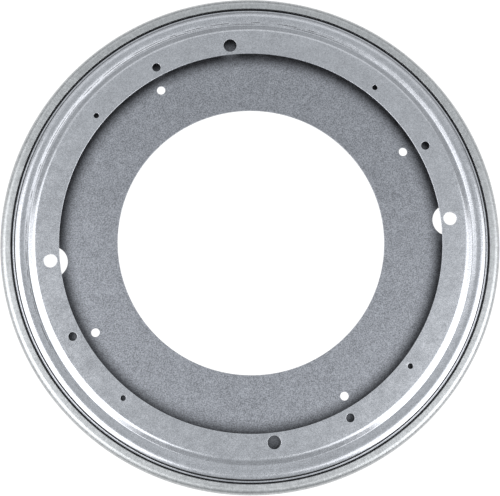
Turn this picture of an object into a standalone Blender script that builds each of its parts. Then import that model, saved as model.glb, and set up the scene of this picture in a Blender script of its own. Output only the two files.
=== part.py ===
"""Ball-bearing turntable hardware: a pressed base ring, a pressed top ring and a hidden row of steel balls.

Metres, +Z up. The bearing turns about Z. The base ring stands on z = 0 and its two access holes lie on X.
"""

from math import asin, ceil, cos, pi, radians, sin, sqrt, tan

import bmesh
import bpy
from mathutils import Matrix, Vector

# Sheet metal and the running clearances
SHEET = 0.0012
RUNNING_GAP = 0.0003  # between a ball and either ring
LIP_GAP = 0.0004  # between the top ring's lip and the curled rim over it
POCKET_GAP = 0.0003  # round a ball, in the retainer
SLIDE_GAP = 0.0003  # under the retainer

# Balls
BALL_DIAMETER = 0.0047625
BALL_COUNT = 36

# Base ring, from its outer edge inwards
OUTER_RADIUS = 0.1524
BASE_WIDTH = 0.0709
RIM_WIDTH = 0.0068
FLOOR_BEND = 0.0008
TRACK_DEPTH = 0.00025
TRACK_WIDTH = 0.0032

# Top ring: lip under the rim, flank beside the balls, dome over them, valley, then the flat flange
FLANK_GAP = 0.0023  # from the rim's inner edge to the flank, level with the balls' centres
LIP_END_GAP = 0.0032  # from the lip's edge to the inside of the rim's wall
LIP_DROP = 0.00043  # from the balls' centres down to the middle of the lip
LIP_BEND = 0.0015
FLANK_SLOPE = radians(6)  # off vertical
SHOULDER_INSIDE = 0.0001  # inside radius of the tight bend from the flank to the dome
DOME_RADIUS = 0.0065
RISE_SLOPE = radians(21)
DROP_SLOPE = radians(27)
VALLEY_DEPTH = 0.00182
VALLEY_BEND = 0.0014
FLANGE_BEND = 0.004
FLANGE_PROUD = 0.00043  # flange above the dome's crest
FLANGE_WIDTH = 0.0150

# Ball retainer, a comb with its pockets open outwards
RETAINER_HEIGHT = 0.0022
RETAINER_BAND = 0.0029
TOOTH_REACH = 0.0018

# Holes
FLANGE_HOLE_INSET = 0.0057  # from the flange's inner edge
LARGE_HOLE = 0.0080
MEDIUM_HOLE = 0.0052
SMALL_HOLE = 0.0033
HOLE_STEP = radians(22.5)  # from a large to a medium to a small hole
BASE_HOLE = 0.0052
BASE_HOLE_INSET = 0.0066  # inside the flange's inner edge, where a screw driver reaches
BASE_HOLE_TURN = radians(24.5)
ACCESS_HOLE = 0.01905

# Facets
SEGMENTS = 72
BEND_STEP = radians(30)
HOLE_SIDES = 16
POCKET_SIDES = 4
BALL_SUBDIVISIONS = 2
SAME_POINT = 1e-7

# Radii and heights that follow
HALF = SHEET / 2
BALL_RADIUS = BALL_DIAMETER / 2
BASE_INNER = OUTER_RADIUS - BASE_WIDTH
RIM_INNER = OUTER_RADIUS - RIM_WIDTH
BALL_REACH = BALL_RADIUS + RUNNING_GAP + HALF  # to the middle of the sheet over a ball and beside it
BALL_CIRCLE = RIM_INNER - FLANK_GAP - HALF - BALL_REACH
BALL_Z = SHEET - TRACK_DEPTH + RUNNING_GAP + BALL_RADIUS
LIP_Z = BALL_Z - LIP_DROP
RIM_Z = LIP_Z + SHEET + LIP_GAP
FLANGE_Z = BALL_Z + BALL_REACH + FLANGE_PROUD
VALLEY_Z = FLANGE_Z - VALLEY_DEPTH


def steel(name, colour, roughness):
    """Material of a bare metal piece."""
    material = bpy.data.materials.new(name)
    material.use_nodes = True
    shader = material.node_tree.nodes["Principled BSDF"]
    shader.inputs["Base Color"].default_value = (*colour, 1)
    shader.inputs["Roughness"].default_value = roughness
    shader.inputs["Metallic"].default_value = 1
    return material


def add_object(name, bm, material):
    """Puts the shape in the scene as one smooth-shaded object."""
    bmesh.ops.recalc_face_normals(bm, faces=bm.faces)
    mesh = bpy.data.meshes.new(name)
    bm.to_mesh(mesh)
    bm.free()
    mesh.shade_smooth()
    mesh.set_sharp_from_angle(angle=radians(35))
    mesh.materials.append(material)
    obj = bpy.data.objects.new(name, mesh)
    bpy.context.scene.collection.objects.link(obj)
    return obj


def bend_points(before, corner, after, radius):
    """(point, left normal) pairs of a line's middle through one corner, rounded to this radius."""
    inward = (corner - before).normalized()
    outward = (after - corner).normalized()
    turn = asin(inward.cross(outward))
    if inward.dot(outward) < 0:
        turn = (pi if turn > 0 else -pi) - turn
    side = 1 if turn > 0 else -1
    normal = Vector((-inward.y, inward.x))
    centre = corner - inward * radius * tan(abs(turn) / 2) + normal * radius * side
    steps = ceil(abs(turn) / BEND_STEP)
    normals = [Matrix.Rotation(turn * i / steps, 2) @ normal for i in range(steps + 1)]
    return [(centre - n * radius * side, n) for n in normals]


def sheet_line(corners):
    """(point, left normal) pairs along a sheet's middle line, from corners of (radius, height, bend radius)."""
    points = [Vector(corner[:2]) for corner in corners]
    first = (points[1] - points[0]).normalized()
    last = (points[-1] - points[-2]).normalized()
    line = [(points[0], Vector((-first.y, first.x)))]
    for i in range(1, len(points) - 1):
        bend = bend_points(points[i - 1], points[i], points[i + 1], corners[i][2])
        touching = (bend[0][0] - line[-1][0]).length < SAME_POINT
        line += bend[1:] if touching else bend
    line.append((points[-1], Vector((-last.y, last.x))))
    return line


def arc_corner(centre, radius, first, second):
    """Where the tangents of this arc at these two unit normals meet."""
    return centre + (first + second) * radius / (1 + first.dot(second))


def arch_corners():
    """Corners of the wide dome over the balls and of the tight shoulder that joins it to the flank."""
    balls = Vector((BALL_CIRCLE, BALL_Z))
    dome = balls + Vector((0, BALL_REACH - DOME_RADIUS))
    rise_normal = Vector((-sin(RISE_SLOPE), cos(RISE_SLOPE)))
    flank_normal = Vector((cos(FLANK_SLOPE), sin(FLANK_SLOPE)))
    upwards = Vector((-flank_normal.y, flank_normal.x))
    shoulder_bend = HALF + SHOULDER_INSIDE
    beside = balls + flank_normal * (BALL_REACH - shoulder_bend)
    across = (beside - dome).dot(flank_normal)
    height = sqrt((DOME_RADIUS - shoulder_bend) ** 2 - across**2)
    shoulder = dome + flank_normal * across + upwards * height
    joint_normal = (shoulder - dome).normalized()
    crown = arc_corner(dome, DOME_RADIUS, rise_normal, joint_normal)
    bend = arc_corner(shoulder, shoulder_bend, joint_normal, flank_normal)
    return crown, bend


def top_ring_corners():
    crown, shoulder = arch_corners()
    valley_r = crown.x - (crown.y - VALLEY_Z) / tan(RISE_SLOPE)
    drop_r = valley_r - VALLEY_DEPTH / tan(DROP_SLOPE)
    lip_r = shoulder.x + (shoulder.y - LIP_Z) * tan(FLANK_SLOPE)
    return [
        (drop_r - FLANGE_WIDTH, FLANGE_Z),
        (drop_r, FLANGE_Z, FLANGE_BEND),
        (valley_r, VALLEY_Z, VALLEY_BEND),
        (crown.x, crown.y, DOME_RADIUS),
        (shoulder.x, shoulder.y, HALF + SHOULDER_INSIDE),
        (lip_r, LIP_Z, LIP_BEND),
        (OUTER_RADIUS - SHEET - LIP_END_GAP, LIP_Z),
    ]


def base_ring_corners():
    wall = OUTER_RADIUS - HALF
    rim_bend = RIM_Z - HALF - FLOOR_BEND
    return [
        (BASE_INNER, HALF),
        (wall, HALF, FLOOR_BEND),
        (wall, RIM_Z, rim_bend),
        (RIM_INNER, RIM_Z),
    ]


def track_points():
    """The shallow groove in the base's upper face that the balls roll in."""
    floor = SHEET - TRACK_DEPTH
    half_width = TRACK_WIDTH / 2
    return [
        Vector((BALL_CIRCLE - half_width, SHEET)),
        Vector((BALL_CIRCLE - half_width / 2, floor)),
        Vector((BALL_CIRCLE + half_width / 2, floor)),
        Vector((BALL_CIRCLE + half_width, SHEET)),
    ]


def turned(outline):
    """Solid made by turning a closed (radius, height) outline once round Z."""
    bm = bmesh.new()
    verts = [bm.verts.new((r, 0, z)) for r, z in outline]
    for i, vert in enumerate(verts):
        bm.edges.new((vert, verts[i - 1]))
    bmesh.ops.spin(
        bm,
        geom=bm.verts[:] + bm.edges[:],
        cent=(0, 0, 0),
        axis=(0, 0, 1),
        angle=2 * pi,
        steps=SEGMENTS,
        use_merge=True,
    )
    bmesh.ops.remove_doubles(bm, verts=bm.verts, dist=SHEET / 1000)
    return bm


def drill(obj, holes):
    """Cuts round holes of (diameter, circle radius, angle) straight down through a ring."""
    bm = bmesh.new()
    for diameter, circle, angle in holes:
        place = Matrix.Translation((circle * cos(angle), circle * sin(angle), FLANGE_Z / 2))
        bmesh.ops.create_cone(
            bm,
            cap_ends=True,
            segments=HOLE_SIDES,
            radius1=diameter / 2,
            radius2=diameter / 2,
            depth=2 * FLANGE_Z,
            matrix=place,
        )
    cutter = add_object(obj.name + "_drills", bm, obj.data.materials[0])
    cutter.hide_render = True
    cutter.display_type = "WIRE"
    cut = obj.modifiers.new("drilled", "BOOLEAN")
    cut.operation = "DIFFERENCE"
    cut.solver = "EXACT"
    cut.object = cutter


def base_ring(material, hole_circle, base_hole_circle):
    line = sheet_line(base_ring_corners())
    upper = [point + normal * HALF for point, normal in line]
    lower = [point - normal * HALF for point, normal in line]
    outline = upper[:1] + track_points() + upper[1:] + lower[::-1]
    ring = add_object("base_ring", turned(outline), material)
    access = [(ACCESS_HOLE, hole_circle, i * pi) for i in range(2)]
    screws = [(BASE_HOLE, base_hole_circle, BASE_HOLE_TURN + i * pi / 2) for i in range(4)]
    drill(ring, access + screws)


def top_ring(material, hole_circle):
    line = sheet_line(top_ring_corners())
    upper = [point + normal * HALF for point, normal in line]
    lower = [point - normal * HALF for point, normal in line]
    ring = add_object("top_ring", turned(upper + lower[::-1]), material)
    holes = []
    for quarter in range(4):
        for step, diameter in enumerate((LARGE_HOLE, MEDIUM_HOLE, SMALL_HOLE)):
            holes.append((diameter, hole_circle, quarter * pi / 2 + step * HOLE_STEP))
    drill(ring, holes)


def ball_train(ball_material, retainer_material):
    """The balls and their retainer, all about one empty on the bearing's axis."""
    axis = bpy.data.objects.new("ball_train_axis", None)
    bpy.context.scene.collection.objects.link(axis)
    retainer(retainer_material).parent = axis
    bm = bmesh.new()
    bmesh.ops.create_icosphere(bm, subdivisions=BALL_SUBDIVISIONS, radius=BALL_RADIUS)
    first = add_object("ball_01", bm, ball_material)
    for i in range(BALL_COUNT):
        ball = first if i == 0 else bpy.data.objects.new(f"ball_{i + 1:02d}", first.data)
        if i > 0:
            bpy.context.scene.collection.objects.link(ball)
        angle = 2 * pi * i / BALL_COUNT
        ball.location = (BALL_CIRCLE * cos(angle), BALL_CIRCLE * sin(angle), BALL_Z)
        ball.rotation_euler.z = angle
        ball.parent = axis


def retainer(material):
    """Flat comb ring: a band inside the balls, and teeth between them."""
    pocket = BALL_RADIUS + POCKET_GAP
    tip_radius = BALL_CIRCLE + TOOTH_REACH
    inner_radius = BALL_CIRCLE - pocket - RETAINER_BAND
    mouth = asin(pocket / tip_radius)
    side_turn = pi / POCKET_SIDES
    corner = pocket / cos(side_turn / 2)
    bottom = SHEET + SLIDE_GAP
    bm = bmesh.new()
    rim = []
    for i in range(BALL_COUNT):
        turn = Matrix.Rotation(2 * pi * i / BALL_COUNT, 3, "Z")
        rim.append(turn @ Vector((tip_radius * cos(mouth), -pocket, bottom)))
        for side in range(POCKET_SIDES):
            around = (side + 0.5) * side_turn
            x = BALL_CIRCLE - corner * sin(around)
            rim.append(turn @ Vector((x, -corner * cos(around), bottom)))
        rim.append(turn @ Vector((tip_radius * cos(mouth), pocket, bottom)))
    bore = []
    for i in range(SEGMENTS):
        angle = 2 * pi * i / SEGMENTS
        bore.append(Vector((inner_radius * cos(angle), inner_radius * sin(angle), bottom)))
    edges = []
    for loop in (rim, bore):
        verts = [bm.verts.new(point) for point in loop]
        edges += [bm.edges.new((vert, verts[i - 1])) for i, vert in enumerate(verts)]
    flat = bmesh.ops.triangle_fill(bm, use_beauty=True, use_dissolve=False, edges=edges)
    faces = [piece for piece in flat["geom"] if isinstance(piece, bmesh.types.BMFace)]
    raised = bmesh.ops.extrude_face_region(bm, geom=faces, use_keep_orig=True)["geom"]
    lifted = [piece for piece in raised if isinstance(piece, bmesh.types.BMVert)]
    bmesh.ops.translate(bm, vec=(0, 0, RETAINER_HEIGHT), verts=lifted)
    return add_object("ball_retainer", bm, material)


def main():
    for obj in list(bpy.data.objects):
        bpy.data.objects.remove(obj)
    galvanised = steel("galvanised_steel", (0.46, 0.48, 0.51), 0.38)
    polished = steel("ball_steel", (0.62, 0.62, 0.64), 0.12)
    plastic = steel("retainer_plastic", (0.62, 0.60, 0.54), 0.5)
    plastic.node_tree.nodes["Principled BSDF"].inputs["Metallic"].default_value = 0
    flange_inner = top_ring_corners()[0][0]
    hole_circle = flange_inner + FLANGE_HOLE_INSET
    base_ring(galvanised, hole_circle, flange_inner - BASE_HOLE_INSET)
    top_ring(galvanised, hole_circle)
    ball_train(polished, plastic)


main()
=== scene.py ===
"""Looks of the ball-bearing turntable: pressed galvanised rings, polished balls and a moulded retainer.

Metres, in the CAD model's frame: the bearing turns about Z and stands on z = 0.
"""

from math import asin, ceil, cos, pi, radians, sin, sqrt, tan

import bmesh
import bpy
from mathutils import Matrix, Vector


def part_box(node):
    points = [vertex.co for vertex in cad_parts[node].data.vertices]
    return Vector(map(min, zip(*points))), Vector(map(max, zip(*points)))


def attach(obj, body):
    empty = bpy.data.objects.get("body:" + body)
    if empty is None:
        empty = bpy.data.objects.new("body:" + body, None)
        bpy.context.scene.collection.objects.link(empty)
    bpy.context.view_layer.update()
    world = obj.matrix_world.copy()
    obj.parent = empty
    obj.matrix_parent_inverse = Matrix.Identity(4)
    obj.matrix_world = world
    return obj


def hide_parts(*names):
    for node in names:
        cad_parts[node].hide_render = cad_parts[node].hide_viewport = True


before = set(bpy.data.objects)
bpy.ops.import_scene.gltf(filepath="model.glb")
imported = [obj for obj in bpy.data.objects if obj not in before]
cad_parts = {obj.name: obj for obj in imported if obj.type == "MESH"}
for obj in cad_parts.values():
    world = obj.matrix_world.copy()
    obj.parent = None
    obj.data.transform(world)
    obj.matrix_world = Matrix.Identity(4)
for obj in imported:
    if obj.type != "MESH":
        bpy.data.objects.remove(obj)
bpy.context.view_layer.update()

# Sheet metal, as in the CAD model
SHEET = 0.0012
HALF = SHEET / 2
BASE_WIDTH = 0.0709
RIM_WIDTH = 0.0068
FLANK_GAP = 0.0023
FLOOR_BEND = 0.0008
TRACK_DEPTH = 0.00025
TRACK_WIDTH = 0.0032
RUNNING_GAP = 0.0003
FLANGE_WIDTH = 0.0150
FLANGE_BEND = 0.004
VALLEY_DEPTH = 0.00182
VALLEY_BEND = 0.0014
DOME_RADIUS = 0.0065
SHOULDER_INSIDE = 0.0001
LIP_BEND = 0.0015
FLANK_SLOPE = radians(6)
RISE_SLOPE = radians(21)
DROP_SLOPE = radians(27)

# Holes, as in the CAD model
FLANGE_HOLE_INSET = 0.0057
HOLE_DIAMETERS = (0.0080, 0.0052, 0.0033)
HOLE_STEP = radians(22.5)
BASE_HOLE = 0.0052
BASE_HOLE_INSET = 0.0066
BASE_HOLE_TURN = radians(24.5)
ACCESS_HOLE = 0.01905

# Retainer, as in the CAD model
POCKET_GAP = 0.0003
RETAINER_BAND = 0.0029
TOOTH_REACH = 0.0018

# Sizes read from the CAD model
_, base_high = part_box("base_ring")
top_low, top_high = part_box("top_ring")
ball_low, ball_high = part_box("ball_01")
comb_low, comb_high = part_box("ball_retainer")
OUTER_RADIUS = base_high.x
RIM_Z = base_high.z - HALF
FLANGE_Z = top_high.z - HALF
LIP_Z = top_low.z + HALF
LIP_RADIUS = top_high.x
BALL_RADIUS = (ball_high.z - ball_low.z) / 2
BALL_Z = (ball_high.z + ball_low.z) / 2
BALL_CIRCLE = (ball_high.x + ball_low.x) / 2
BALL_COUNT = sum(name.startswith("ball_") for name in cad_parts) - 1  # less ball_retainer
RIM_INNER = OUTER_RADIUS - RIM_WIDTH
BASE_INNER = OUTER_RADIUS - BASE_WIDTH
BALL_REACH = BALL_RADIUS + RUNNING_GAP + HALF
VALLEY_Z = FLANGE_Z - VALLEY_DEPTH

# Fine mesh
SEGMENTS = 576
BEND_STEP = radians(7.5)
EDGE_ROUND = 0.0002
EDGE_STEPS = 4
HOLE_SIDES = 48
TRACK_STEPS = 12
BALL_SIDES = 48
BALL_TURNS_Y, BALL_TURNS_X = 3, 7  # whole turns of a ball, from the first one round to the first again
POCKET_STEPS = 14
TIP_STEPS = 4
COMB_ROUND = 0.0002
COMB_ROUND_STEPS = 2
SHARP_ANGLE = radians(60)
FLATS_WEIGHT = 50
SAME_POINT = 1e-7

# Camera: nearly straight over the bearing, from the side of the picture's lower edge
CAMERA_TARGET = Vector((-0.00144, -0.00456, 0.004))
CAMERA_DISTANCE = 0.661
CAMERA_TILT = radians(7.27)
CAMERA_AZIMUTH = radians(-108.7)
CAMERA_ROLL = radians(12.5)
CAMERA_LENS = 78.3
PICTURE_TURN = radians(-6.3)  # the picture's right-hand direction, from +X

# Studio air. Each band is where its light fades in or out, on the unit sphere.
ZENITH = 0.60
HORIZON = 0.42
OVERHEAD_BAND = (0.45, 0.85)
SIDE_LIGHT = 0.06
SIDE_BAND = (0.0, 0.05)  # of the square of X
BACKDROP = 0.1
BACKDROP_TOP_BAND = (0.2, 0.42)
BACKDROP_REACH_BAND = (-0.5, 0.3)
AIR_GREEN = 1.04
AIR_BLUE = 1.06

# Softboxes: azimuth from the picture's right and elevation, in degrees; width and height; brightness
SOFTBOX_DISTANCE = 1.2
SOFTBOXES = {
    "softbox_left": (198, 43, (1.45, 1.2), 1.25),
    "softbox_left_core": (205, 47, (0.95, 1.0), 1.0),
    "softbox_right": (343, 34, (1.3, 0.85), 1.25),
    "softbox_right_core": (332, 48, (0.9, 1.0), 1.4),
    "softbox_back": (90, 44, (2.2, 0.45), 0.4),
}

# Ground
FLOOR_REACH = 3.0
FLOOR_DROP = 0.0002
FLOOR_TONE = 0.1
FLOOR_ROUGHNESS = 0.9
FLOOR_GLOW = 1.0

# Zinc patterns: noise scales per metre, or per radian round the axis
SPECKLE_SCALE = 1450.0
FLECK_SCALE = 420.0
MOTTLE_SCALE = 130.0
SMUDGE_SCALE = 24.0
DIE_LINES_ROUND = 1.5
DIE_LINES_ACROSS = 2600.0
RIPPLES_ROUND = 170.0
RIPPLES_ACROSS = 420.0

# Zinc patterns: how much each one changes the tone, the roughness or the relief
FLECK_SHARE = 0.2
RIM_GRAIN_LOSS = 0.7
DIE_LINE_LIGHT = 0.06
RIPPLE_LIGHT = 0.14
# worn edges: real wear, plus a painted highlight where the rounded edge would catch the light
WEAR_AND_SHEEN_LIGHT = 0.2
PATCHY_ROUGHNESS = 0.03
BURNISHED = 0.34
FLECK_RELIEF = 1.5
DIE_LINE_RELIEF = 0.3
RIPPLE_RELIEF = 2.0
PITTING = 0.000016

# Ball steel and retainer plastic
LAPPING_SCALE = 2500.0
HAZE_SCALE = 300.0
BALL_TONE = (0.60, 0.70)
BALL_ROUGHNESS = (0.08, 0.18)
LAPPING_DEPTH = 0.000004
TEXTURE_SCALE = 1800.0
FLOW_SCALE = 90.0
PLASTIC_TONE = (0.50, 0.58)
PLASTIC_ROUGHNESS = (0.42, 0.58)
CREAM_BLUE = 0.9
TEXTURE_DEPTH = 0.00002
NOISE_RANGE = (0.3, 0.7)  # what most of a noise pattern's values lie between

# Zinc zones
UPPER_BAND = (HALF, SHEET * 0.75)  # by height, all others by radius
FORMED_FADE = 0.002
CURL_BAND = (-0.0004, 0.0002)  # from the rim's inner edge, as are the next four
GAP_START = (-0.0011, -0.0008)
GAP_END = (-0.00015, -0.00003)
SHADE_END = (-0.0002, 0.0)
FLANK_LINE = -FLANK_GAP - 0.0001
FLANK_LINE_HALF = 0.0009
SHADE_FADE = 0.009
# painted shade in the running gap and along the flank's foot, where shade falls
GAP_SHADE = 0.02  # what is left of the tone in the running gap
FLANK_SHADE = 0.08  # and along the foot of the flank

# Score lines on the rise to the dome, on the side towards -X and +Y
SCORE_OFFSETS = (0.0006, 0.0015)
SCORE_HALF = 0.00035
SCORE_DEPTH = 0.6
SCORE_PATCHES = (0.42, 0.56)
SCORED_SIDE = (0.0, 0.07)
LINE_CORE = 0.3  # the part of a line's half width that is full strength


# ---------------------------------------------------------------- sheet-metal outlines

def bend_points(before, corner, after, radius):
    """(point, left normal) pairs of a line's middle through one corner, rounded to this radius."""
    inward = (corner - before).normalized()
    outward = (after - corner).normalized()
    turn = asin(inward.cross(outward))
    if inward.dot(outward) < 0:
        turn = (pi if turn > 0 else -pi) - turn
    side = 1 if turn > 0 else -1
    normal = Vector((-inward.y, inward.x))
    centre = corner - inward * radius * tan(abs(turn) / 2) + normal * radius * side
    steps = ceil(abs(turn) / BEND_STEP)
    normals = [Matrix.Rotation(turn * i / steps, 2) @ normal for i in range(steps + 1)]
    return [(centre - n * radius * side, n) for n in normals]


def sheet_line(corners):
    """(point, left normal) pairs of the bends in a sheet's middle line.

    Each corner is (radius, height, bend); the two ends need no bend.
    """
    points = [Vector(corner[:2]) for corner in corners]
    line = []
    for i in range(1, len(points) - 1):
        bend = bend_points(points[i - 1], points[i], points[i + 1], corners[i][2])
        touching = line and (bend[0][0] - line[-1][0]).length < SAME_POINT
        line += bend[1:] if touching else bend
    return line


def cut_edge(end, outward):
    """Rounded end of the sheet at this middle point, from its left face round to its right face."""
    left = Vector((-outward.y, outward.x))
    points = []
    for first, second, side in ((left, outward, left), (outward, -left, -left)):
        centre = end - outward * EDGE_ROUND + side * (HALF - EDGE_ROUND)
        for step in range(EDGE_STEPS + 1):
            angle = pi / 2 * step / EDGE_STEPS
            points.append(centre + (first * cos(angle) + second * sin(angle)) * EDGE_ROUND)
    return points


def arc_corner(centre, radius, first, second):
    """Where the tangents of this arc at these two unit normals meet."""
    return centre + (first + second) * radius / (1 + first.dot(second))


def arch_corners():
    """Corners of the wide dome over the balls and of the tight shoulder that joins it to the flank."""
    balls = Vector((BALL_CIRCLE, BALL_Z))
    dome = balls + Vector((0, BALL_REACH - DOME_RADIUS))
    rise_normal = Vector((-sin(RISE_SLOPE), cos(RISE_SLOPE)))
    flank_normal = Vector((cos(FLANK_SLOPE), sin(FLANK_SLOPE)))
    upwards = Vector((-flank_normal.y, flank_normal.x))
    shoulder_bend = HALF + SHOULDER_INSIDE
    beside = balls + flank_normal * (BALL_REACH - shoulder_bend)
    across = (beside - dome).dot(flank_normal)
    height = sqrt((DOME_RADIUS - shoulder_bend) ** 2 - across**2)
    shoulder = dome + flank_normal * across + upwards * height
    joint_normal = (shoulder - dome).normalized()
    crown = arc_corner(dome, DOME_RADIUS, rise_normal, joint_normal)
    bend = arc_corner(shoulder, shoulder_bend, joint_normal, flank_normal)
    return crown, bend


def top_ring_corners():
    crown, shoulder = arch_corners()
    valley_r = crown.x - (crown.y - VALLEY_Z) / tan(RISE_SLOPE)
    drop_r = valley_r - VALLEY_DEPTH / tan(DROP_SLOPE)
    lip_r = shoulder.x + (shoulder.y - LIP_Z) * tan(FLANK_SLOPE)
    return [
        (drop_r - FLANGE_WIDTH, FLANGE_Z),
        (drop_r, FLANGE_Z, FLANGE_BEND),
        (valley_r, VALLEY_Z, VALLEY_BEND),
        (crown.x, crown.y, DOME_RADIUS),
        (shoulder.x, shoulder.y, HALF + SHOULDER_INSIDE),
        (lip_r, LIP_Z, LIP_BEND),
        (LIP_RADIUS, LIP_Z),
    ]


def base_ring_corners():
    wall = OUTER_RADIUS - HALF
    rim_bend = RIM_Z - HALF - FLOOR_BEND
    return [
        (BASE_INNER, HALF),
        (wall, HALF, FLOOR_BEND),
        (wall, RIM_Z, rim_bend),
        (RIM_INNER, RIM_Z),
    ]


def track_points():
    """Smooth shallow groove in the base's upper face, worn in by the balls."""
    points = []
    for step in range(TRACK_STEPS + 1):
        across = step / TRACK_STEPS - 0.5
        depth = TRACK_DEPTH * (1 + cos(2 * pi * across)) / 2
        points.append(Vector((BALL_CIRCLE + across * TRACK_WIDTH, SHEET - depth)))
    return points


# ---------------------------------------------------------------- meshes

def turn_chain(bm, chain, sides, centre=(0, 0), worn_and_sheen=0.0):
    """Turns a chain of (radius, height) points once round an upright axis and marks its faces for wear and
    painted highlight.

    Returns its first and last loops.
    """
    wear_and_sheen_layer = bm.faces.layers.float.get("worn_and_sheen") or bm.faces.layers.float.new("worn_and_sheen")
    loops = []
    for radius, height in chain:
        loop = []
        for i in range(sides):
            angle = 2 * pi * i / sides
            point = (centre[0] + radius * cos(angle), centre[1] + radius * sin(angle), height)
            loop.append(bm.verts.new(point))
        loops.append(loop)
    for near, far in zip(loops, loops[1:]):
        for i in range(sides):
            bm.faces.new((near[i - 1], near[i], far[i], far[i - 1]))[wear_and_sheen_layer] = worn_and_sheen
    return loops[0], loops[-1]


def fill_between(bm, loops):
    """Flat face bounded by closed loops, with the inner ones as holes."""
    edges = []
    for loop in loops:
        edges += [bm.edges.get((vert, loop[i - 1])) for i, vert in enumerate(loop)]
    bmesh.ops.triangle_fill(bm, use_beauty=True, use_dissolve=False, edges=edges, normal=(0, 0, 1))


def hole_chain(diameter, top):
    """Wall of a punched hole through a flat sheet whose upper face is at top, with rounded rims."""
    rim = diameter / 2 + EDGE_ROUND
    chain = []
    for step in range(EDGE_STEPS + 1):
        angle = pi / 2 * step / EDGE_STEPS
        chain.append((rim - EDGE_ROUND * sin(angle), top - EDGE_ROUND * (1 - cos(angle))))
    return chain + [(radius, 2 * top - SHEET - height) for radius, height in reversed(chain)]


def drilled_ring(name, inner_edge, outer_chain, top, holes):
    """One closed pressed ring. A flat zone with holes joins its inner edge to all that lies outside it."""
    bm = bmesh.new()
    low_inner, high_inner = turn_chain(bm, inner_edge, SEGMENTS, worn_and_sheen=1.0)
    high_outer, low_outer = turn_chain(bm, outer_chain, SEGMENTS)
    upper, lower = [high_inner, high_outer], [low_inner, low_outer]
    for diameter, circle, angle in holes:
        centre = (circle * cos(angle), circle * sin(angle))
        over, under = turn_chain(bm, hole_chain(diameter, top), HOLE_SIDES, centre, worn_and_sheen=1.0)
        upper.append(over)
        lower.append(under)
    fill_between(bm, upper)
    fill_between(bm, lower)
    return add_piece(name, bm)


def add_piece(name, bm):
    """Puts a finished shape in the scene, smooth-shaded."""
    bmesh.ops.recalc_face_normals(bm, faces=bm.faces)
    mesh = bpy.data.meshes.new(name)
    bm.to_mesh(mesh)
    bm.free()
    mesh.shade_smooth()
    piece = bpy.data.objects.new(name, mesh)
    bpy.context.scene.collection.objects.link(piece)
    return piece


def keep_flats_flat(piece):
    """Lets large flat faces set the shading of their edges."""
    weighted = piece.modifiers.new("flat_shading", "WEIGHTED_NORMAL")
    weighted.mode = "FACE_AREA"
    weighted.weight = FLATS_WEIGHT
    weighted.keep_sharp = False


def two_faces(line):
    """The sheet's left and right faces along its middle line."""
    left = [point + normal * HALF for point, normal in line]
    right = [point - normal * HALF for point, normal in line]
    return left, right


def make_top_ring(hole_circle):
    corners = top_ring_corners()
    upper, lower = two_faces(sheet_line(corners))
    lip = cut_edge(Vector(corners[-1][:2]), Vector((1, 0)))
    inner = cut_edge(Vector(corners[0][:2]), Vector((-1, 0)))
    outer_chain = upper + lip + lower[::-1]
    holes = []
    for quarter in range(4):
        for step, diameter in enumerate(HOLE_DIAMETERS):
            holes.append((diameter, hole_circle, quarter * pi / 2 + step * HOLE_STEP))
    return drilled_ring("top_ring_sheet", inner, outer_chain, FLANGE_Z + HALF, holes)


def make_base_ring(hole_circle, base_hole_circle):
    corners = base_ring_corners()
    upper, lower = two_faces(sheet_line(corners))
    rim = cut_edge(Vector(corners[-1][:2]), Vector((-1, 0)))
    inner = cut_edge(Vector(corners[0][:2]), Vector((-1, 0)))
    track = track_points()
    outer_chain = track + upper + rim + lower[::-1] + [Vector((track[0].x, 0))]
    holes = [(ACCESS_HOLE, hole_circle, i * pi) for i in range(2)]
    holes += [(BASE_HOLE, base_hole_circle, BASE_HOLE_TURN + i * pi / 2) for i in range(4)]
    return drilled_ring("base_ring_sheet", inner, outer_chain, SHEET, holes)


def make_ball(number):
    """One polished steel ball at its CAD place, tumbled so that the poles of the meshes face many ways."""
    low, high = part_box(f"ball_{number:02d}")
    bm = bmesh.new()
    bmesh.ops.create_uvsphere(bm, u_segments=BALL_SIDES, v_segments=BALL_SIDES // 2, radius=BALL_RADIUS)
    angle = 2 * pi * (number - 1) / BALL_COUNT
    about_y = Matrix.Rotation(angle * BALL_TURNS_Y, 4, "Y")
    tumbled = about_y @ Matrix.Rotation(angle * BALL_TURNS_X, 4, "X")
    bmesh.ops.transform(bm, matrix=Matrix.Translation((low + high) / 2) @ tumbled, verts=bm.verts)
    return add_piece(f"steel_ball_{number:02d}", bm)


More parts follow.
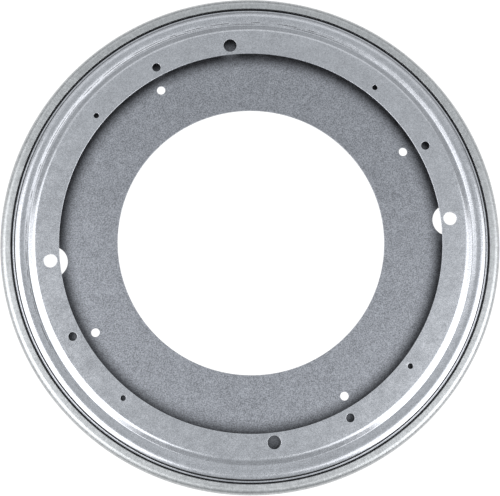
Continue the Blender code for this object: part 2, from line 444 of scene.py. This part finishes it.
def make_comb():
    """Moulded retainer: a band inside the balls and teeth between them, with softened edges."""
    pocket = BALL_RADIUS + POCKET_GAP
    tip_radius = BALL_CIRCLE + TOOTH_REACH
    inner_radius = BALL_CIRCLE - pocket - RETAINER_BAND
    mouth = asin(pocket / tip_radius)
    pitch = 2 * pi / BALL_COUNT
    outline = []
    for i in range(BALL_COUNT):
        turn = Matrix.Rotation(pitch * i, 2)
        for step in range(POCKET_STEPS + 1):
            around = pi * step / POCKET_STEPS
            spot = Vector((BALL_CIRCLE - pocket * sin(around), -pocket * cos(around)))
            outline.append(turn @ spot)
        for step in range(TIP_STEPS + 1):
            angle = mouth + (pitch - 2 * mouth) * step / TIP_STEPS
            outline.append(turn @ Vector((tip_radius * cos(angle), tip_radius * sin(angle))))
    bore_angles = [2 * pi * i / SEGMENTS for i in range(SEGMENTS)]
    bore = [Vector((inner_radius * cos(a), inner_radius * sin(a))) for a in bore_angles]
    bm = bmesh.new()
    loops = []
    for line in (outline, bore):
        loop = [bm.verts.new((point.x, point.y, comb_low.z)) for point in line]
        for i, vert in enumerate(loop):
            bm.edges.new((vert, loop[i - 1]))
        loops.append(loop)
    fill_between(bm, loops)
    raised = bmesh.ops.extrude_face_region(bm, geom=bm.faces[:], use_keep_orig=True)["geom"]
    lifted = [piece for piece in raised if isinstance(piece, bmesh.types.BMVert)]
    bmesh.ops.translate(bm, vec=(0, 0, comb_high.z - comb_low.z), verts=lifted)
    comb = add_piece("retainer_comb", bm)
    soften = comb.modifiers.new("moulded_edges", "BEVEL")
    soften.width = COMB_ROUND
    soften.segments = COMB_ROUND_STEPS
    soften.limit_method = "ANGLE"
    soften.angle_limit = SHARP_ANGLE
    keep_flats_flat(comb)
    return comb


# ---------------------------------------------------------------- materials

def add_node(tree, kind, inputs, **settings):
    """A node with its settings made, and its inputs linked from sockets or set to values."""
    node = tree.nodes.new(kind)
    for name, value in settings.items():
        setattr(node, name, value)
    for name, value in inputs.items():
        if isinstance(value, bpy.types.NodeSocket):
            tree.links.new(value, node.inputs[name])
        else:
            node.inputs[name].default_value = value
    return node


def maths(tree, operation, first, second=0.0, third=0.0):
    node = add_node(tree, "ShaderNodeMath", {0: first, 1: second, 2: third}, operation=operation)
    return node.outputs[0]


def noise(tree, vector, scale, detail, roughness):
    inputs = {"Vector": vector, "Scale": scale, "Detail": detail, "Roughness": roughness}
    return add_node(tree, "ShaderNodeTexNoise", inputs).outputs["Fac"]


def band(tree, value, low, high):
    """0 below low, 1 above high, smooth between."""
    inputs = {"Value": value, "From Min": low, "From Max": high}
    node = add_node(tree, "ShaderNodeMapRange", inputs, interpolation_type="SMOOTHSTEP")
    return node.outputs["Result"]


def ramp(tree, value, low, high):
    """A noise value stretched so that its usual range fills low to high."""
    inputs = {"Value": value, "To Min": low, "To Max": high}
    inputs["From Min"], inputs["From Max"] = NOISE_RANGE
    return add_node(tree, "ShaderNodeMapRange", inputs).outputs["Result"]


def new_material(name):
    material = bpy.data.materials.new(name)
    material.use_nodes = True
    tree = material.node_tree
    return material, tree, tree.nodes["Principled BSDF"]


def polar_vector(tree, place, radius, around, across):
    """Coordinates that run around times per radian about Z and across times per metre of radius."""
    flat = add_node(tree, "ShaderNodeVectorMath", {0: place, 1: (1, 1, 0)}, operation="MULTIPLY")
    unit = add_node(tree, "ShaderNodeVectorMath", {0: flat.outputs[0]}, operation="NORMALIZE")
    scaled = add_node(
        tree, "ShaderNodeVectorMath", {0: unit.outputs[0], "Scale": around}, operation="SCALE"
    )
    height = maths(tree, "MULTIPLY", radius, across)
    lift = add_node(tree, "ShaderNodeCombineXYZ", {"Z": height}).outputs[0]
    return add_node(
        tree, "ShaderNodeVectorMath", {0: scaled.outputs[0], 1: lift}, operation="ADD"
    ).outputs[0]


def galvanised(name, tone, rim_tone, roughness, grain, clouds, shaded):
    """Zinc-coated sheet: grain and clouds, die and score lines, a burnished curl, worn edges with painted
    highlight, painted shade.

    Grain and clouds are how strong the fine and the broad patterns are, and shaded is how dark the painted
    shade under the top ring is.
    """
    material, tree, shader = new_material(name)
    place = add_node(tree, "ShaderNodeTexCoord", {}).outputs["Object"]
    axes = add_node(tree, "ShaderNodeSeparateXYZ", {"Vector": place})
    x_squared = maths(tree, "MULTIPLY", axes.outputs["X"], axes.outputs["X"])
    radius = maths(
        tree, "SQRT", maths(tree, "MULTIPLY_ADD", axes.outputs["Y"], axes.outputs["Y"], x_squared)
    )
    drop_radius, rise_radius = top_ring_corners()[1][0], top_ring_corners()[2][0]
    formed = band(tree, radius, drop_radius, drop_radius + FORMED_FADE)
    upper = band(tree, axes.outputs["Z"], *UPPER_BAND)
    curled = maths(tree, "MULTIPLY", rim_band(tree, radius, CURL_BAND), upper)

    speckle = noise(tree, place, SPECKLE_SCALE, detail=1.0, roughness=0.6)
    flecks = noise(tree, place, FLECK_SCALE, detail=3.0, roughness=0.6)
    mottle = noise(tree, place, MOTTLE_SCALE, detail=3.0, roughness=0.5)
    smudge = noise(tree, place, SMUDGE_SCALE, detail=2.0, roughness=0.5)
    line_place = polar_vector(tree, place, radius, DIE_LINES_ROUND, DIE_LINES_ACROSS)
    die_lines = noise(tree, line_place, 1.0, detail=2.0, roughness=0.6)
    ripple_place = polar_vector(tree, place, radius, RIPPLES_ROUND, RIPPLES_ACROSS)
    ripples = noise(tree, ripple_place, 1.0, detail=3.0, roughness=0.7)

    fine = maths(tree, "MULTIPLY_ADD", curled, -RIM_GRAIN_LOSS * grain, grain)
    light = maths(tree, "MULTIPLY_ADD", ramp(tree, speckle, -1, 1), fine, 1.0)
    light = maths(tree, "MULTIPLY_ADD", ramp(tree, flecks, -1, 1), grain * FLECK_SHARE, light)
    light = maths(tree, "MULTIPLY_ADD", ramp(tree, mottle, -1, 1), clouds, light)
    light = maths(tree, "MULTIPLY_ADD", ramp(tree, smudge, -1, 1), clouds, light)
    lines = maths(tree, "MULTIPLY", ramp(tree, die_lines, -1, 1), formed)
    light = maths(tree, "MULTIPLY_ADD", lines, DIE_LINE_LIGHT, light)
    leftward = band(tree, maths(tree, "SUBTRACT", axes.outputs["Y"], axes.outputs["X"]), *SCORED_SIDE)
    scored = maths(tree, "MULTIPLY", leftward, upper)
    for offset, patches in zip(SCORE_OFFSETS, (smudge, mottle)):
        circle = ring_line(tree, radius, rise_radius + offset, SCORE_HALF)
        broken = maths(tree, "MULTIPLY", band(tree, patches, *SCORE_PATCHES), scored)
        score = maths(tree, "MULTIPLY", circle, broken)
        light = maths(tree, "MULTIPLY_ADD", score, -SCORE_DEPTH, light)
    curl = maths(tree, "MULTIPLY", ramp(tree, ripples, -1, 1), curled)
    light = maths(tree, "MULTIPLY_ADD", curl, RIPPLE_LIGHT, light)
    # worn cut edges and hole walls: wear, plus a painted edge highlight
    worn_and_sheen = add_node(tree, "ShaderNodeAttribute", {}, attribute_name="worn_and_sheen").outputs["Fac"]
    light = maths(tree, "MULTIPLY_ADD", worn_and_sheen, WEAR_AND_SHEEN_LIGHT, light)
    # painted shade in the gap, along the flank's foot and under the top ring
    light = maths(tree, "MULTIPLY", light, painted_shade_factor(tree, radius, upper, shaded))
    zinc = add_node(tree, "ShaderNodeMix", {0: curled, 4: tone, 5: rim_tone}, data_type="VECTOR")
    colour = add_node(
        tree, "ShaderNodeVectorMath", {0: zinc.outputs[1], "Scale": light}, operation="SCALE"
    ).outputs[0]
    tree.links.new(colour, shader.inputs["Base Color"])

    rough = maths(tree, "MULTIPLY_ADD", ramp(tree, mottle, -1, 1), PATCHY_ROUGHNESS, roughness)
    rough = maths(tree, "MULTIPLY_ADD", ramp(tree, flecks, -1, 1), PATCHY_ROUGHNESS, rough)
    rough = maths(tree, "MULTIPLY_ADD", curled, BURNISHED - roughness, rough)
    tree.links.new(rough, shader.inputs["Roughness"])
    shader.inputs["Metallic"].default_value = 1.0

    relief = maths(tree, "MULTIPLY_ADD", flecks, FLECK_RELIEF, speckle)
    relief = maths(tree, "MULTIPLY_ADD", lines, DIE_LINE_RELIEF, relief)
    relief = maths(tree, "MULTIPLY_ADD", curl, RIPPLE_RELIEF, relief)
    bump = add_node(tree, "ShaderNodeBump", {"Height": relief, "Distance": grain * PITTING})
    tree.links.new(bump.outputs[0], shader.inputs["Normal"])
    return material


def ring_line(tree, radius, centre, half_width):
    """1 on a circle about Z, fading to 0 over this half width."""
    away = maths(tree, "ABSOLUTE", maths(tree, "SUBTRACT", radius, centre))
    return maths(tree, "SUBTRACT", 1.0, band(tree, away, half_width * LINE_CORE, half_width))


def rim_band(tree, radius, limits):
    """0 inside and 1 outside a circle near the rim's inner edge, from which the two limits are measured."""
    return band(tree, radius, RIM_INNER + limits[0], RIM_INNER + limits[1])


def painted_shade_factor(tree, radius, upper, shaded):
    """Painted shade: 1 on open metal and on the underside; on upper faces low in the gap, the flank's foot
    and under the top ring.
    """
    in_gap = maths(tree, "SUBTRACT", rim_band(tree, radius, GAP_START), rim_band(tree, radius, GAP_END))
    flange_inner = top_ring_corners()[0][0]
    shade_start = band(tree, radius, flange_inner - SHADE_FADE, flange_inner)
    under = maths(tree, "SUBTRACT", shade_start, rim_band(tree, radius, SHADE_END))
    unshaded = maths(tree, "MULTIPLY_ADD", in_gap, GAP_SHADE - 1, 1.0)
    flank = ring_line(tree, radius, RIM_INNER + FLANK_LINE, FLANK_LINE_HALF)
    unshaded = maths(tree, "MULTIPLY_ADD", flank, FLANK_SHADE - 1, unshaded)
    unshaded = maths(tree, "MULTIPLY_ADD", under, -shaded, unshaded)
    return maths(tree, "MULTIPLY_ADD", maths(tree, "SUBTRACT", unshaded, 1.0), upper, 1.0)


def polished_steel():
    material, tree, shader = new_material("ball_steel")
    place = add_node(tree, "ShaderNodeTexCoord", {}).outputs["Object"]
    lapping = noise(tree, place, LAPPING_SCALE, detail=4.0, roughness=0.7)
    haze = noise(tree, place, HAZE_SCALE, detail=2.0, roughness=0.5)
    shade = ramp(tree, lapping, *BALL_TONE)
    colour = add_node(tree, "ShaderNodeCombineColor", {"Red": shade, "Green": shade, "Blue": shade})
    tree.links.new(colour.outputs[0], shader.inputs["Base Color"])
    tree.links.new(ramp(tree, haze, *BALL_ROUGHNESS), shader.inputs["Roughness"])
    shader.inputs["Metallic"].default_value = 1.0
    bump = add_node(tree, "ShaderNodeBump", {"Height": lapping, "Distance": LAPPING_DEPTH})
    tree.links.new(bump.outputs[0], shader.inputs["Normal"])
    return material


def moulded_plastic():
    material, tree, shader = new_material("retainer_plastic")
    place = add_node(tree, "ShaderNodeTexCoord", {}).outputs["Object"]
    texture = noise(tree, place, TEXTURE_SCALE, detail=3.0, roughness=0.6)
    flow = noise(tree, place, FLOW_SCALE, detail=2.0, roughness=0.5)
    tint = ramp(tree, flow, *PLASTIC_TONE)
    cream = maths(tree, "MULTIPLY", tint, CREAM_BLUE)
    colour = add_node(tree, "ShaderNodeCombineColor", {"Red": tint, "Green": tint, "Blue": cream})
    tree.links.new(colour.outputs[0], shader.inputs["Base Color"])
    tree.links.new(ramp(tree, texture, *PLASTIC_ROUGHNESS), shader.inputs["Roughness"])
    bump = add_node(tree, "ShaderNodeBump", {"Height": texture, "Distance": TEXTURE_DEPTH})
    tree.links.new(bump.outputs[0], shader.inputs["Normal"])
    return material


# ---------------------------------------------------------------- studio

def picture_direction(azimuth, elevation):
    """Unit vector towards a light, with azimuth 0 at the picture's right and 90 at its top, in degrees."""
    turn = radians(azimuth) + PICTURE_TURN
    rise = radians(elevation)
    return Vector((cos(rise) * cos(turn), cos(rise) * sin(turn), sin(rise)))


def add_softbox(name, azimuth, elevation, size, brightness):
    light = bpy.data.lights.new(name, "AREA")
    light.shape = "RECTANGLE"
    light.size, light.size_y = size
    light.energy = brightness * pi * light.size * light.size_y
    lamp = bpy.data.objects.new(name, light)
    direction = picture_direction(azimuth, elevation)
    lamp.location = direction * SOFTBOX_DISTANCE
    lamp.rotation_euler = direction.to_track_quat("Z", "Y").to_euler()
    bpy.context.scene.collection.objects.link(lamp)


def add_world():
    """Soft studio air, brightest overhead, with a little more light from both sides and low at the back."""
    world = bpy.data.worlds.new("studio_air")
    bpy.context.scene.world = world
    world.use_nodes = True
    tree = world.node_tree
    direction = add_node(tree, "ShaderNodeTexCoord", {}).outputs["Generated"]
    axes = add_node(tree, "ShaderNodeSeparateXYZ", {"Vector": direction})
    side = maths(tree, "MULTIPLY", axes.outputs["X"], axes.outputs["X"])
    low_sky = maths(tree, "SUBTRACT", 1.0, band(tree, axes.outputs["Z"], *BACKDROP_TOP_BAND))
    glow = maths(tree, "MULTIPLY", low_sky, band(tree, axes.outputs["Y"], *BACKDROP_REACH_BAND))
    overhead = band(tree, axes.outputs["Z"], *OVERHEAD_BAND)
    shade = maths(tree, "MULTIPLY_ADD", overhead, ZENITH - HORIZON, HORIZON)
    shade = maths(tree, "MULTIPLY_ADD", band(tree, side, *SIDE_BAND), SIDE_LIGHT, shade)
    shade = maths(tree, "MULTIPLY_ADD", glow, BACKDROP, shade)
    green = maths(tree, "MULTIPLY", shade, AIR_GREEN)
    blue = maths(tree, "MULTIPLY", shade, AIR_BLUE)
    colour = add_node(tree, "ShaderNodeCombineColor", {"Red": shade, "Green": green, "Blue": blue})
    tree.links.new(colour.outputs[0], tree.nodes["Background"].inputs["Color"])


def add_floor():
    """Plain white ground. Most of its light is its own glow, so the shadows on it stay faint."""
    bm = bmesh.new()
    bmesh.ops.create_grid(bm, x_segments=1, y_segments=1, size=FLOOR_REACH)
    floor = add_piece("floor", bm)
    floor.location.z = -FLOOR_DROP
    material, _, shader = new_material("white_paper")
    shader.inputs["Base Color"].default_value = (FLOOR_TONE, FLOOR_TONE, FLOOR_TONE, 1)
    shader.inputs["Roughness"].default_value = FLOOR_ROUGHNESS
    shader.inputs["Specular IOR Level"].default_value = 0.0
    shader.inputs["Emission Color"].default_value = (1, 1, 1, 1)
    shader.inputs["Emission Strength"].default_value = FLOOR_GLOW
    floor.data.materials.append(material)


def add_camera():
    camera = bpy.data.objects.new("camera", bpy.data.cameras.new("camera"))
    camera.data.lens = CAMERA_LENS
    flat = sin(CAMERA_TILT)
    direction = Vector((flat * cos(CAMERA_AZIMUTH), flat * sin(CAMERA_AZIMUTH), cos(CAMERA_TILT)))
    camera.location = CAMERA_TARGET + direction * CAMERA_DISTANCE
    aim = direction.to_track_quat("Z", "Y").to_matrix().to_4x4()
    camera.matrix_world = Matrix.Translation(camera.location) @ aim @ Matrix.Rotation(CAMERA_ROLL, 4, "Z")
    bpy.context.scene.collection.objects.link(camera)
    bpy.context.scene.camera = camera


# ---------------------------------------------------------------- the object

def place(piece, body, node, slot, material):
    """Hands a fine piece to its moving body in the place of a CAD node."""
    piece.data.materials.append(material)
    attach(piece, body)
    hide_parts(node)


flange_inner = top_ring_corners()[0][0]
hole_circle = flange_inner + FLANGE_HOLE_INSET
base_hole_circle = flange_inner - BASE_HOLE_INSET

top_zinc = galvanised(
    "galvanised_top",
    tone=(0.55, 0.56, 0.595),
    rim_tone=(0.55, 0.56, 0.595),
    roughness=0.22,
    grain=0.16,
    clouds=0.03,
    shaded=0.0,
)
base_zinc = galvanised(
    "galvanised_base",
    tone=(0.31, 0.32, 0.35),
    rim_tone=(0.475, 0.485, 0.495),
    roughness=0.4,
    grain=0.38,
    clouds=0.02,
    shaded=0.55,
)
steel = polished_steel()
plastic = moulded_plastic()

top_sheet = make_top_ring(hole_circle)
keep_flats_flat(top_sheet)
place(top_sheet, "top", "top_ring", "galvanised_steel", top_zinc)
base_sheet = make_base_ring(hole_circle, base_hole_circle)
keep_flats_flat(base_sheet)
place(base_sheet, "base", "base_ring", "galvanised_steel", base_zinc)
place(make_comb(), "ball_train", "ball_retainer", "retainer_plastic", plastic)
for number in range(1, BALL_COUNT + 1):
    place(make_ball(number), "ball_train", f"ball_{number:02d}", "ball_steel", steel)

add_floor()
add_world()
for name, (azimuth, elevation, size, brightness) in SOFTBOXES.items():
    add_softbox(name, azimuth, elevation, size, brightness)
add_camera()
bpy.context.scene.view_settings.view_transform = "Standard"
